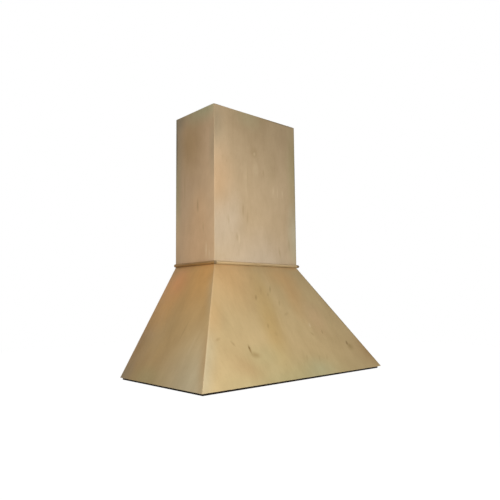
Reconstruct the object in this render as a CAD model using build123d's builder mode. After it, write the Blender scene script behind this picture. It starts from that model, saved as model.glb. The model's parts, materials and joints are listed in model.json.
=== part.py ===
from math import atan2, degrees, hypot, isclose
import os

from build123d import *

os.makedirs("parts", exist_ok=True)

# A wooden cover for a wall range hood: a tapered canopy with a straight chimney on top.
# Millimetres. X runs to the right, Y to the wall and Z up. The wall is the plane Y = 0 and
# the origin lies on it, midway between the two screws of the wall cleat that carries it all.

# ---------------------------------------------------------------- driving dimensions
# The outside, as the photograph shows it.
hood_width = 914.0
hood_depth = 482.0
canopy_height = 403.0
chimney_width = 438.0
chimney_depth = 244.0
chimney_height = 601.0
panel_thickness = 12.7

# The bead that hides the seam between canopy and chimney.
bead_height = 12.5
bead_projection = 8.5

# Loose tongues in the mitred corners, and the glue blocks behind them.
tongue_width = 11.0
tongue_thickness = 4.0
tongue_end_gap = 0.4
hip_block_leg = 26.0
hip_block_height = 80.0
hip_block_above_rail = 9.0
hip_block_below_frame = 22.0
corner_block_leg = 24.0
corner_block_height = 90.0

# The frame at the foot of the canopy.
base_rail_thickness = 19.0
base_rail_inset = 60.0
base_back_rail_height = 70.0
base_back_rail_thickness = 19.0
base_wall_screw_height = 42.0

# The frame at the top of the canopy and the neck that the chimney slips over.
top_rail_thickness = 19.0
top_front_rail_width = 19.0
top_side_rail_width = 44.0
top_back_rail_width = 25.0
neck_thickness = 12.7
neck_height = 45.0
neck_clearance = 0.8
neck_chamfer = 3.0
neck_screw_edge = 65.0

# The hanging cleats, one on the wall and one in the hood, with a 45 degree hook.
cleat_thickness = 19.0
hood_cleat_height = 80.0
wall_cleat_end = 31.8
cleat_screw_edge = 30.0
cleat_screw_spacing = 105.0
wall_cleat_below_screws = 35.0
hook_above_screws = 29.0
stud_spacing = 406.4
wall_screw_radius = 2.75

# The folded sheet-steel liner, with its well and its opening for a ventilator insert.
sheet = 1.2
liner_inset = 10.0
liner_wall_gap = 1.0
lip_height = 8.0
liner_flange = 55.0
well_height = 64.0
well_run = 20.0
ledge_width = 14.0
bend_radius = 1.6
insert_width = 521.0
insert_margin = 17.5
insert_screw_side = 60.5
insert_screw_edge = 10.0
insert_rail_screw_offset = 80.0
insert_screw_radius = 2.75
insert_rail_thickness = 19.0
insert_rail_height = 38.0

# The rails that brace the chimney.
chimney_rail_thickness = 19.0
chimney_rail_height = 70.0
chimney_rail_housing = 4.0
lower_rail_above_neck = 10.0
upper_rail_below_top = 20.0
chimney_screw_edge = 56.3
stretcher_height = 45.0

# Screws, dowels and rivets. They are small and many, so each is made eight-sided, and its
# radius is the one inside the flats.
fastener_sides = 8
screw_radius = 2.0
screw_head_radius = 4.2
screw_head_height = 2.4
screw_head_rounding = 1.0
liner_screw_length = 15.0
frame_screw_length = 42.0
screw_hole_clearance = 0.15
screw_point = 3.0
screw_tip_radius = 0.5
flange_screw_edge = 125.0
side_screw_edge = 140.0
dowel_radius = 4.0
dowel_length = 36.0
dowel_clearance = 0.1
top_dowel_radius = 3.0
top_dowel_length = 24.0
base_dowel_spacing = 24.0
back_dowel_depth = 11.5
rivet_radius = 1.6
rivet_head_radius = 3.2
rivet_head_height = 0.9
rivet_spacing = 117.0

# ---------------------------------------------------------------- levels and slopes
screws_above_base = (
    canopy_height - top_rail_thickness - hood_cleat_height - hook_above_screws
)
base_z = -screws_above_base
seam_z = base_z + canopy_height
chimney_top_z = seam_z + chimney_height
platform_z = base_z + well_height
insert_rail_z = platform_z + sheet
insert_rail_top_z = insert_rail_z + insert_rail_height
top_frame_z = seam_z - top_rail_thickness

# How far the faces lean in for each millimetre of height, and how thick a panel is when
# it is measured level.
side_slope = (hood_width - chimney_width) / 2 / canopy_height
front_slope = (hood_depth - chimney_depth) / canopy_height
side_wall = panel_thickness * hypot(1, side_slope)
front_wall = panel_thickness * hypot(1, front_slope)
hip_stretch = hypot(1, side_slope, front_slope)

sides = {"left": -1, "right": 1}


def side_x(z, inset=0.0):
    """Half the width between the canopy's side faces at height z, less an inset."""
    return hood_width / 2 - side_slope * (z - base_z) - inset


def front_y(z, inset=0.0):
    """Where the canopy's front face lies at height z, less an inset."""
    return -hood_depth + front_slope * (z - base_z) + inset


def hip_direction(side):
    """The way a hip runs, from the foot of the canopy up to the seam."""
    return Vector(-side * side_slope, front_slope, 1)


def mitre_plane(side):
    """The compound mitre at one hip. It holds the hip's outer and inner line."""
    across_wall = Vector(-side * side_wall, front_wall, 0)
    return Plane(
        origin=(side * side_x(base_z), front_y(base_z), base_z),
        z_dir=across_wall.cross(hip_direction(side)) * side,
    )


def trim_to_panels():
    """Cut the piece being made back to the inner faces of the canopy's three panels."""
    inner_faces = [
        Plane(origin=(side * side_x(base_z, side_wall), 0, base_z), z_dir=(side, 0, side_slope))
        for side in sides.values()
    ]
    inner_faces.append(
        Plane(origin=(0, front_y(base_z, front_wall), base_z), z_dir=(0, -1, front_slope))
    )
    for inner_face in inner_faces:
        split(bisect_by=inner_face, keep=Keep.BOTTOM)


def across_mitre(corner, wall, width, thickness):
    """Plan outline of a tongue set square across the mitre that starts at a corner.

    wall is the step in plan from the outer corner to the inner one."""
    along = Vector(*wall).normalized()
    across = Vector(-along.Y, along.X)
    middle = Vector(*corner) + Vector(*wall) * 0.5
    return [
        middle + across * (width / 2 * u) + along * (thickness / 2 * v)
        for u, v in ((-1, -1), (1, -1), (1, 1), (-1, 1))
    ]


# ---------------------------------------------------------------- fasteners
# Each is made once, standing on its end, and copied to where it is used. The same forms
# with a little more room are what the holes are cut with.


def rod(radius, length):
    with BuildPart() as form:
        with BuildSketch():
            RegularPolygon(radius, fastener_sides, major_radius=False)
        extrude(amount=length)
    return form.part


def countersunk_screw(length, clearance=0.0, point=0.0):
    """A wood screw standing on its flat head. With no point it is the hole's form."""
    head_taper = degrees(atan2(screw_head_radius - screw_radius, screw_head_height))
    with BuildPart() as form:
        with BuildSketch():
            RegularPolygon(screw_head_radius + clearance, fastener_sides, major_radius=False)
        extrude(amount=screw_head_height, taper=head_taper)
        with BuildSketch(Plane.XY.offset(screw_head_height)):
            RegularPolygon(screw_radius + clearance, fastener_sides, major_radius=False)
        extrude(amount=length - screw_head_height - point)
        if point:
            with BuildSketch(Plane.XY.offset(length - point)):
                RegularPolygon(screw_radius, fastener_sides, major_radius=False)
            extrude(amount=point, taper=degrees(atan2(screw_radius - screw_tip_radius, point)))
    return form.part


screw_hole_radius = screw_radius + screw_hole_clearance
frame_screw = countersunk_screw(frame_screw_length, point=screw_point)
frame_screw_hole = countersunk_screw(frame_screw_length, clearance=screw_hole_clearance)
pilot_hole = rod(screw_hole_radius, frame_screw_length - top_rail_thickness)
liner_screw_hole = rod(screw_hole_radius, liner_screw_length)
sheet_hole = rod(screw_hole_radius, sheet)
rivet_hole = rod(rivet_radius + screw_hole_clearance, sheet)
insert_ledge_hole = rod(insert_screw_radius, sheet)
insert_rail_hole = rod(insert_screw_radius, insert_rail_height)
dowel = rod(dowel_radius, dowel_length)
dowel_hole = rod(dowel_radius + dowel_clearance, dowel_length)
top_dowel = rod(top_dowel_radius, top_dowel_length)
top_dowel_hole = rod(top_dowel_radius + dowel_clearance, top_dowel_length)

# A pan-head screw that comes up from below: its head bears on the underside of the sheet.
with BuildPart() as pan_screw:
    with BuildSketch():
        RegularPolygon(screw_head_radius, fastener_sides, major_radius=False)
    extrude(amount=-screw_head_height)
    chamfer(pan_screw.faces().sort_by(Axis.Z)[0].edges(), screw_head_rounding)
    with BuildSketch():
        RegularPolygon(screw_radius, fastener_sides, major_radius=False)
    extrude(amount=liner_screw_length - screw_point)
    with BuildSketch(Plane.XY.offset(liner_screw_length - screw_point)):
        RegularPolygon(screw_radius, fastener_sides, major_radius=False)
    extrude(
        amount=screw_point,
        taper=degrees(atan2(screw_radius - screw_tip_radius, screw_point)),
    )

# ---------------------------------------------------------------- canopy panels
# Each panel is its own leaning section run past the hips and then cut at the compound
# mitres. The tongues' grooves run up the hips in the middle of the mitre.


def hip_tongue_outline(side, end_gap=0.0):
    return across_mitre(
        (side * side_x(base_z), front_y(base_z)),
        (-side * side_wall, front_wall),
        tongue_width + 2 * end_gap,
        tongue_thickness,
    )


with BuildPart() as canopy_front_panel:
    with BuildSketch(Plane.YZ):
        Polygon(
            (front_y(base_z), base_z),
            (front_y(base_z, front_wall), base_z),
            (front_y(seam_z, front_wall), seam_z),
            (front_y(seam_z), seam_z),
            align=None,
        )
    extrude(amount=hood_width / 2, both=True)
    for side in sides.values():
        split(bisect_by=mitre_plane(side), keep=Keep.BOTTOM)
    for side in sides.values():
        with BuildSketch(Plane.XY.offset(base_z)):
            Polygon(*hip_tongue_outline(side, tongue_end_gap), align=None)
        extrude(
            amount=canopy_height * hip_stretch,
            dir=hip_direction(side),
            mode=Mode.SUBTRACT,
        )
canopy_front_panel.part.label = "canopy_front_panel"
export_step(canopy_front_panel.part, "parts/canopy_front_panel.step")

for name, side in sides.items():
    with BuildPart() as canopy_side_panel:
        with BuildSketch(Plane.XZ):
            Polygon(
                (side * side_x(base_z), base_z),
                (side * side_x(base_z, side_wall), base_z),
                (side * side_x(seam_z, side_wall), seam_z),
                (side * side_x(seam_z), seam_z),
                align=None,
            )
        extrude(amount=hood_depth)
        split(bisect_by=mitre_plane(side), keep=Keep.TOP)
        with BuildSketch(Plane.XY.offset(base_z)):
            Polygon(*hip_tongue_outline(side, tongue_end_gap), align=None)
        extrude(
            amount=canopy_height * hip_stretch,
            dir=hip_direction(side),
            mode=Mode.SUBTRACT,
        )
    canopy_side_panel.part.label = f"canopy_{name}_panel"
    export_step(canopy_side_panel.part, f"parts/canopy_{name}_panel.step")

    with BuildPart() as hip_tongue:
        with BuildSketch(Plane.XY.offset(base_z)):
            Polygon(*hip_tongue_outline(side), align=None)
        extrude(amount=canopy_height * hip_stretch, dir=hip_direction(side))
    hip_tongue.part.label = f"hip_tongue_{name}"
    export_step(hip_tongue.part, f"parts/hip_tongue_{name}.step")

# ---------------------------------------------------------------- hip glue blocks
hip_block_levels = {
    "lower": insert_rail_top_z + hip_block_above_rail,
    "upper": top_frame_z - hip_block_below_frame - hip_block_height,
}

for name, side in sides.items():
    for place, low in hip_block_levels.items():
        corner_x = side_x(low, side_wall)
        corner_y = front_y(low, front_wall)
        with BuildPart() as hip_block:
            with BuildSketch(Plane.XY.offset(low)):
                Polygon(
                    (side * corner_x, corner_y),
                    (side * (corner_x - hip_block_leg), corner_y),
                    (side * corner_x, corner_y + hip_block_leg),
                    align=None,
                )
            extrude(amount=hip_block_height * hip_stretch, dir=hip_direction(side))
        hip_block.part.label = f"hip_block_{name}_{place}"
        export_step(hip_block.part, f"parts/hip_block_{name}_{place}.step")

# ---------------------------------------------------------------- base frame
# The front and side rails lie flat and the back rail stands on edge. Their outer edges
# are bevelled to the panels. Dowels join the side rails to the other two.
base_front_inner_y = front_y(base_z, base_rail_inset)
base_side_inner_x = side_x(base_z, base_rail_inset)
base_side_middle_x = (side_x(base_z + base_rail_thickness, side_wall) + base_side_inner_x) / 2
base_dowel_z = base_z + base_rail_thickness / 2

base_dowel_xs = [
    side * (base_side_middle_x + step * base_dowel_spacing / 2)
    for side in sides.values()
    for step in (-1, 1)
]
# Each dowel starts at its deep end in the front or back rail and runs into a side rail.
front_dowel_y = base_front_inner_y - dowel_length / 2
back_dowel_y = -base_back_rail_thickness + back_dowel_depth
front_dowel_seats = [
    Plane(origin=(x, front_dowel_y, base_dowel_z), x_dir=(1, 0, 0), z_dir=(0, 1, 0))
    for x in base_dowel_xs
]
back_dowel_seats = [
    Plane(origin=(x, back_dowel_y, base_dowel_z), x_dir=(1, 0, 0), z_dir=(0, -1, 0))
    for x in base_dowel_xs
]

# Where screws come up through the liner's flange into the rails above it.
liner_front_y = front_y(base_z, liner_inset)
liner_back_y = -liner_wall_gap
liner_side_x = side_x(base_z, liner_inset)
flange_screw_y = (front_y(base_z, front_wall) + base_front_inner_y) / 2
flange_screw_x = (side_x(base_z, side_wall) + base_side_inner_x) / 2
flange_screw_reach = liner_side_x - flange_screw_edge
flange_screws = {
    "front": [(x, flange_screw_y) for x in (-flange_screw_reach, 0, flange_screw_reach)],
    "back": [
        (x, -base_back_rail_thickness / 2) for x in (-flange_screw_reach, 0, flange_screw_reach)
    ],
}
for name, side in sides.items():
    flange_screws[name] = [
        (side * flange_screw_x, liner_front_y + side_screw_edge),
        (side * flange_screw_x, liner_back_y - side_screw_edge),
    ]

foot_x = side_x(base_z, side_wall)
foot_y = front_y(base_z, front_wall)
base_rails = {
    "front": [
        (-foot_x, foot_y),
        (foot_x, foot_y),
        (foot_x, base_front_inner_y),
        (-foot_x, base_front_inner_y),
    ],
    "back": [
        (-foot_x, -base_back_rail_thickness),
        (foot_x, -base_back_rail_thickness),
        (foot_x, 0),
        (-foot_x, 0),
    ],
}
for name, side in sides.items():
    base_rails[name] = [
        (side * foot_x, base_front_inner_y),
        (side * foot_x, -base_back_rail_thickness),
        (side * base_side_inner_x, -base_back_rail_thickness),
        (side * base_side_inner_x, base_front_inner_y),
    ]

for name, outline in base_rails.items():
    rail_height = base_back_rail_height if name == "back" else base_rail_thickness
    with BuildPart() as base_rail:
        with BuildSketch(Plane.XY.offset(base_z)):
            Polygon(*outline, align=None)
        extrude(amount=rail_height)
        trim_to_panels()
        with Locations(*front_dowel_seats, *back_dowel_seats):
            add(dowel_hole, mode=Mode.SUBTRACT)
        with Locations(*[(x, y, base_z) for x, y in flange_screws[name]]):
            add(liner_screw_hole, mode=Mode.SUBTRACT)
        if name == "back":
            with BuildSketch(Plane.XZ.offset(base_back_rail_thickness)):
                with Locations((0, base_z + base_wall_screw_height)):
                    with GridLocations(stud_spacing, 0, 2, 1):
                        Circle(wall_screw_radius)
            extrude(amount=-base_back_rail_thickness, mode=Mode.SUBTRACT)
    base_rail.part.label = f"base_rail_{name}"
    export_step(base_rail.part, f"parts/base_rail_{name}.step")

with BuildPart() as base_dowels:
    with Locations(*front_dowel_seats, *back_dowel_seats):
        add(dowel)
base_dowels.part.label = "base_dowels"
export_step(base_dowels.part, "parts/base_dowels.step")

# ---------------------------------------------------------------- top frame of the canopy
top_front_inner_y = front_y(seam_z, front_wall + top_front_rail_width)
top_side_inner_x = side_x(seam_z, side_wall + top_side_rail_width)
top_dowel_x = side_x(seam_z, side_wall + top_side_rail_width / 2)
top_dowel_seats = [
    Plane(
        origin=(side * top_dowel_x, joint_y - top_dowel_length / 2, seam_z - top_rail_thickness / 2),
        x_dir=(1, 0, 0),
        z_dir=(0, 1, 0),
    )
    for side in sides.values()
    for joint_y in (top_front_inner_y, -top_back_rail_width)
]

# The neck stands on the top frame, one clearance inside the chimney.
neck_x = chimney_width / 2 - panel_thickness - neck_clearance
neck_front_y = -chimney_depth + panel_thickness + neck_clearance
neck_middle_x = neck_x - neck_thickness / 2
neck_middle_y = neck_front_y + neck_thickness / 2
neck_side_length = -neck_front_y - 2 * neck_thickness
neck_screw_reach = neck_x - neck_screw_edge
neck_screws_at = {
    "front": [(x, neck_middle_y) for x in (-neck_screw_reach, neck_screw_reach)],
    "back": [(x, -neck_thickness / 2) for x in (-neck_screw_reach, neck_screw_reach)],
}
for name, side in sides.items():
    neck_screws_at[name] = [
        (side * neck_middle_x, y) for y in (neck_front_y + neck_screw_edge, -neck_screw_edge)
    ]

# The cleat in the hood hangs under the back rail from four screws of its own.
cleat_screw_far = side_x(seam_z, side_wall + cleat_screw_edge)
cleat_screw_near = cleat_screw_far - cleat_screw_spacing
cleat_screws_at = [
    (side * x, -cleat_thickness / 2)
    for side in sides.values()
    for x in (cleat_screw_near, cleat_screw_far)
]

frame_x = side_x(top_frame_z, side_wall)
frame_y = front_y(top_frame_z, front_wall)
top_rails = {
    "front": [
        (-frame_x, frame_y),
        (frame_x, frame_y),
        (frame_x, top_front_inner_y),
        (-frame_x, top_front_inner_y),
    ],
    "back": [
        (-frame_x, -top_back_rail_width),
        (frame_x, -top_back_rail_width),
        (frame_x, 0),
        (-frame_x, 0),
    ],
}
for name, side in sides.items():
    top_rails[name] = [
        (side * frame_x, top_front_inner_y),
        (side * frame_x, -top_back_rail_width),
        (side * top_side_inner_x, -top_back_rail_width),
        (side * top_side_inner_x, top_front_inner_y),
    ]

for name, outline in top_rails.items():
    with BuildPart() as top_rail:
        with BuildSketch(Plane.XY.offset(top_frame_z)):
            Polygon(*outline, align=None)
        extrude(amount=top_rail_thickness)
        trim_to_panels()
        with Locations(*top_dowel_seats):
            add(top_dowel_hole, mode=Mode.SUBTRACT)
        with Locations(*[(x, y, top_frame_z) for x, y in neck_screws_at[name]]):
            add(frame_screw_hole, mode=Mode.SUBTRACT)
        if name == "back":
            with Locations(*[(x, y, seam_z) for x, y in cleat_screws_at]):
                with Locations(Rotation(180, 0, 0)):
                    add(frame_screw_hole, mode=Mode.SUBTRACT)
    top_rail.part.label = f"top_rail_{name}"
    export_step(top_rail.part, f"parts/top_rail_{name}.step")

with BuildPart() as top_dowels:
    with Locations(*top_dowel_seats):
        add(top_dowel)
top_dowels.part.label = "top_dowels"
export_step(top_dowels.part, "parts/top_dowels.step")

# ---------------------------------------------------------------- neck
neck_boards = {
    "front": ((0, neck_middle_y), (2 * neck_x, neck_thickness)),
    "back": ((0, -neck_thickness / 2), (2 * neck_x, neck_thickness)),
}
for name, side in sides.items():
    neck_boards[name] = (
        (side * neck_middle_x, neck_front_y / 2),
        (neck_thickness, neck_side_length),
    )

for name, (middle, size) in neck_boards.items():
    with BuildPart() as neck_board:
        with BuildSketch(Plane.XY.offset(seam_z)):
            with Locations(middle):
                Rectangle(*size)
        extrude(amount=neck_height)
        # The outer top edges are eased so that the chimney finds its way on.
        outer_edges = [
            edge
            for edge in neck_board.faces().sort_by(Axis.Z)[-1].edges()
            if isclose(abs(edge.center().X), neck_x) or isclose(edge.center().Y, neck_front_y)
        ]
        chamfer(outer_edges, neck_chamfer)
        with Locations(*[(x, y, seam_z) for x, y in neck_screws_at[name]]):
            add(pilot_hole, mode=Mode.SUBTRACT)
    neck_board.part.label = f"neck_{name}"
    export_step(neck_board.part, f"parts/neck_{name}.step")

with BuildPart() as neck_screws:
    for places in neck_screws_at.values():
        with Locations(*[(x, y, top_frame_z) for x, y in places]):
            add(frame_screw)
neck_screws.part.label = "neck_screws"
export_step(neck_screws.part, "parts/neck_screws.step")

# ---------------------------------------------------------------- hanging cleats
# Both cleats share one 45 degree plane: it rises from the wall to the room, so the hood's
# point drops behind the wall cleat's lip.
hook_z = hook_above_screws
hook_top_z = hook_z + cleat_thickness
hook_x = side_x(hook_z, side_wall)

with BuildPart() as hood_cleat:
    with BuildSketch(Plane.YZ):
        Polygon(
            (0, hook_z),
            (0, top_frame_z),
            (-cleat_thickness, top_frame_z),
            (-cleat_thickness, hook_top_z),
            align=None,
        )
    extrude(amount=hook_x, both=True)
    trim_to_panels()
    with Locations(*[(x, y, top_frame_z) for x, y in cleat_screws_at]):
        with Locations(Rotation(180, 0, 0)):
            add(pilot_hole, mode=Mode.SUBTRACT)
hood_cleat.part.label = "hood_cleat"
export_step(hood_cleat.part, "parts/hood_cleat.step")

with BuildPart() as hood_cleat_screws:
    with Locations(*[(x, y, seam_z) for x, y in cleat_screws_at]):
        with Locations(Rotation(180, 0, 0)):
            add(frame_screw)
hood_cleat_screws.part.label = "hood_cleat_screws"
export_step(hood_cleat_screws.part, "parts/hood_cleat_screws.step")

with BuildPart() as wall_cleat:
    with BuildSketch(Plane.YZ):
        Polygon(
            (0, -wall_cleat_below_screws),
            (0, hook_z),
            (-cleat_thickness, hook_top_z),
            (-cleat_thickness, -wall_cleat_below_screws),
            align=None,
        )
    extrude(amount=stud_spacing / 2 + wall_cleat_end, both=True)
    with BuildSketch(Plane.XZ.offset(cleat_thickness)):
        with GridLocations(stud_spacing, 0, 2, 1):
            Circle(wall_screw_radius)
    extrude(amount=-cleat_thickness, mode=Mode.SUBTRACT)
wall_cleat.part.label = "wall_cleat"
export_step(wall_cleat.part, "parts/wall_cleat.step")

# ---------------------------------------------------------------- liner
# Each wall is one folded strip: lip, flange, sloping wall and ledge, mitred at its ends.
liner_width = 2 * liner_side_x
liner_depth = liner_back_y - liner_front_y
liner_middle_y = (liner_back_y + liner_front_y) / 2
platform_inset = liner_flange + well_run
platform_width = liner_width - 2 * platform_inset
platform_depth = liner_depth - 2 * platform_inset
insert_depth = platform_depth - 2 * insert_margin

insert_screw_x = insert_width / 2 - insert_screw_side
insert_screw_y = insert_depth / 2 + insert_screw_edge
insert_screws = [
    (x, liner_middle_y + y)
    for x in (-insert_screw_x, insert_screw_x)
    for y in (-insert_screw_y, insert_screw_y)
]
insert_rail_screw_x = insert_screw_x + insert_rail_screw_offset
insert_rail_screws_at = [
    (x, liner_middle_y + y)
    for x in (-insert_rail_screw_x, insert_rail_screw_x)
    for y in (-insert_screw_y, insert_screw_y)
]
rivet_x = platform_width / 2 - ledge_width / 2
rivets = [
    (x, liner_middle_y + y)
    for x in (-rivet_x, rivet_x)
    for y in (-rivet_spacing, 0, rivet_spacing)
]

liner_walls = {
    "front": ((0, liner_front_y), (0, 1), liner_width),
    "back": ((0, liner_back_y), (0, -1), liner_width),
    "left": ((-liner_side_x, liner_middle_y), (1, 0), liner_depth),
    "right": ((liner_side_x, liner_middle_y), (-1, 0), liner_depth),
}

for name, (middle, inward, length) in liner_walls.items():
    inward_x, inward_y = inward
    fold = Plane(
        origin=(*middle, base_z),
        x_dir=(inward_x, inward_y, 0),
        z_dir=(inward_y, -inward_x, 0),
    )
    with BuildPart() as liner_wall:
        with BuildSketch(fold):
            with BuildLine():
                FilletPolyline(
                    (0, -lip_height),
                    (0, 0),
                    (liner_flange, 0),
                    (platform_inset, well_height),
                    (platform_inset + ledge_width, well_height),
                    radius=bend_radius + sheet,
                )
                offset(amount=sheet, side=Side.RIGHT, closed=True)
            make_face()
        extrude(amount=length / 2, both=True)
        for end in (-1, 1):
            mitre = Plane(
                origin=fold.from_local_coords((0, 0, end * length / 2)),
                z_dir=fold.x_dir + fold.z_dir * end,
            )
            split(bisect_by=mitre, keep=Keep.BOTTOM)
        with Locations(*[(x, y, base_z - sheet) for x, y in flange_screws[name]]):
            add(sheet_hole, mode=Mode.SUBTRACT)
        with Locations(*[(x, y, platform_z - sheet) for x, y in insert_screws]):
            add(insert_ledge_hole, mode=Mode.SUBTRACT)
        with Locations(*[(x, y, platform_z - sheet) for x, y in insert_rail_screws_at]):
            add(sheet_hole, mode=Mode.SUBTRACT)
        with Locations(*[(x, y, platform_z - sheet) for x, y in rivets]):
            add(rivet_hole, mode=Mode.SUBTRACT)
    liner_wall.part.label = f"liner_{name}"
    export_step(liner_wall.part, f"parts/liner_{name}.step")

with BuildPart() as liner_top:
    with BuildSketch(Plane.XY.offset(platform_z)):
        with Locations((0, liner_middle_y)):
            Rectangle(platform_width, platform_depth)
            Rectangle(insert_width, insert_depth, mode=Mode.SUBTRACT)
        with Locations(*insert_screws):
            Circle(insert_screw_radius, mode=Mode.SUBTRACT)
    extrude(amount=sheet)
    with Locations(*[(x, y, platform_z) for x, y in insert_rail_screws_at]):
        add(sheet_hole, mode=Mode.SUBTRACT)
    with Locations(*[(x, y, platform_z) for x, y in rivets]):
        add(rivet_hole, mode=Mode.SUBTRACT)
liner_top.part.label = "liner_top"
export_step(liner_top.part, "parts/liner_top.step")

rivet_body = rod(rivet_radius, 2 * sheet)
rivet_head = rod(rivet_head_radius, rivet_head_height)
rivet_foot_z = platform_z - sheet

with BuildPart() as liner_rivets:
    with Locations(*[(x, y, rivet_foot_z - rivet_head_height) for x, y in rivets]):
        add(rivet_head)
    with Locations(*[(x, y, rivet_foot_z) for x, y in rivets]):
        add(rivet_body)
    with Locations(*[(x, y, rivet_foot_z + 2 * sheet) for x, y in rivets]):
        add(rivet_head)
liner_rivets.part.label = "liner_rivets"
export_step(liner_rivets.part, "parts/liner_rivets.step")

with BuildPart() as liner_screws:
    for places in flange_screws.values():
        with Locations(*[(x, y, base_z - sheet) for x, y in places]):
            add(pan_screw.part)
liner_screws.part.label = "liner_screws"
export_step(liner_screws.part, "parts/liner_screws.step")

# ---------------------------------------------------------------- insert rails
# Two rails on edge carry the ventilator insert. They lie on the liner's top and reach
# from side panel to side panel, with their ends bevelled to the slope.
insert_rail_x = side_x(insert_rail_z, side_wall)

for name, way in {"front": -1, "back": 1}.items():
    with BuildPart() as insert_rail:
        with BuildSketch(Plane.XY.offset(insert_rail_z)):
            with Locations((0, liner_middle_y + way * insert_screw_y)):
                Rectangle(2 * insert_rail_x, insert_rail_thickness)
        extrude(amount=insert_rail_height)
        trim_to_panels()
        with Locations(*[(x, y, insert_rail_z) for x, y in insert_screws]):
            add(insert_rail_hole, mode=Mode.SUBTRACT)
        with Locations(*[(x, y, insert_rail_z) for x, y in insert_rail_screws_at]):
            add(liner_screw_hole, mode=Mode.SUBTRACT)
    insert_rail.part.label = f"insert_rail_{name}"
    export_step(insert_rail.part, f"parts/insert_rail_{name}.step")

with BuildPart() as insert_rail_screws:
    with Locations(*[(x, y, platform_z - sheet) for x, y in insert_rail_screws_at]):
        add(pan_screw.part)
insert_rail_screws.part.label = "insert_rail_screws"
export_step(insert_rail_screws.part, "parts/insert_rail_screws.step")

# ---------------------------------------------------------------- chimney
half_chimney = chimney_width / 2
chimney_inner_x = half_chimney - panel_thickness
chimney_inner_y = -chimney_depth + panel_thickness
neck_top_z = seam_z + neck_height
lower_rail_z = neck_top_z + lower_rail_above_neck
upper_rail_z = chimney_top_z - upper_rail_below_top - chimney_rail_height
rail_levels = {"lower": lower_rail_z, "upper": upper_rail_z}


def chimney_tongue_outline(side, end_gap=0.0):
    return across_mitre(
        (side * half_chimney, -chimney_depth),
        (-side * panel_thickness, panel_thickness),
        tongue_width + 2 * end_gap,
        tongue_thickness,
    )


with BuildPart() as chimney_front_panel:
    with BuildSketch(Plane.XY.offset(seam_z)):
        Polygon(
            (-half_chimney, -chimney_depth),
            (half_chimney, -chimney_depth),
            (chimney_inner_x, chimney_inner_y),
            (-chimney_inner_x, chimney_inner_y),
            align=None,
        )
        for side in sides.values():
            Polygon(
                *chimney_tongue_outline(side, tongue_end_gap), align=None, mode=Mode.SUBTRACT
            )
    extrude(amount=chimney_height)
chimney_front_panel.part.label = "chimney_front_panel"
export_step(chimney_front_panel.part, "parts/chimney_front_panel.step")

for name, side in sides.items():
    with BuildPart() as chimney_side_panel:
        with BuildSketch(Plane.XY.offset(seam_z)):
            Polygon(
                (side * half_chimney, 0),
                (side * half_chimney, -chimney_depth),
                (side * chimney_inner_x, chimney_inner_y),
                (side * chimney_inner_x, 0),
                align=None,
            )
            Polygon(
                *chimney_tongue_outline(side, tongue_end_gap), align=None, mode=Mode.SUBTRACT
            )
        extrude(amount=chimney_height)
        # Housings that take the ends of the two back rails.
        for rail_z in rail_levels.values():
            with BuildSketch(Plane.XY.offset(rail_z)):
                with Locations((side * chimney_inner_x, 0)):
                    Rectangle(2 * chimney_rail_housing, 2 * chimney_rail_thickness)
            extrude(amount=chimney_rail_height, mode=Mode.SUBTRACT)
    chimney_side_panel.part.label = f"chimney_{name}_panel"
    export_step(chimney_side_panel.part, f"parts/chimney_{name}_panel.step")

    with BuildPart() as chimney_tongue:
        with BuildSketch(Plane.XY.offset(seam_z)):
            Polygon(*chimney_tongue_outline(side), align=None)
        extrude(amount=chimney_height)
    chimney_tongue.part.label = f"chimney_tongue_{name}"
    export_step(chimney_tongue.part, f"parts/chimney_tongue_{name}.step")

    block_levels = {
        "lower": lower_rail_z,
        "upper": chimney_top_z - stretcher_height - corner_block_height,
    }
    for place, level in block_levels.items():
        with BuildPart() as corner_block:
            with BuildSketch(Plane.XY.offset(level)):
                Polygon(
                    (side * chimney_inner_x, chimney_inner_y),
                    (side * (chimney_inner_x - corner_block_leg), chimney_inner_y),
                    (side * chimney_inner_x, chimney_inner_y + corner_block_leg),
                    align=None,
                )
            extrude(amount=corner_block_height)
        corner_block.part.label = f"chimney_block_{name}_{place}"
        export_step(corner_block.part, f"parts/chimney_block_{name}_{place}.step")

for place, rail_z in rail_levels.items():
    with BuildPart() as chimney_rail:
        with BuildSketch(Plane.XZ):
            with Locations((0, rail_z + chimney_rail_height / 2)):
                Rectangle(2 * (chimney_inner_x + chimney_rail_housing), chimney_rail_height)
                with GridLocations(2 * (chimney_inner_x - chimney_screw_edge), 0, 2, 1):
                    Circle(wall_screw_radius, mode=Mode.SUBTRACT)
        extrude(amount=chimney_rail_thickness)
    chimney_rail.part.label = f"chimney_rail_{place}"
    export_step(chimney_rail.part, f"parts/chimney_rail_{place}.step")

with BuildPart() as chimney_stretcher:
    with BuildSketch(Plane.XY.offset(chimney_top_z)):
        with Locations((0, chimney_inner_y + chimney_rail_thickness / 2)):
            Rectangle(2 * chimney_inner_x, chimney_rail_thickness)
    extrude(amount=-stretcher_height)
chimney_stretcher.part.label = "chimney_stretcher"
export_step(chimney_stretcher.part, "parts/chimney_stretcher.step")

# ---------------------------------------------------------------- bead
# A half-round on a short flat, mitred at the front corners and square at the wall.
bead_radius = bead_height / 2
bead_flat = bead_projection - bead_radius
bead_sides = {
    "front": ((0, -chimney_depth), (0, -1), chimney_width + 2 * bead_projection, (-1, 1)),
    "left": ((-half_chimney, 0), (-1, 0), 2 * (chimney_depth + bead_projection), (-1,)),
    "right": ((half_chimney, 0), (1, 0), 2 * (chimney_depth + bead_projection), (1,)),
}

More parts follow.
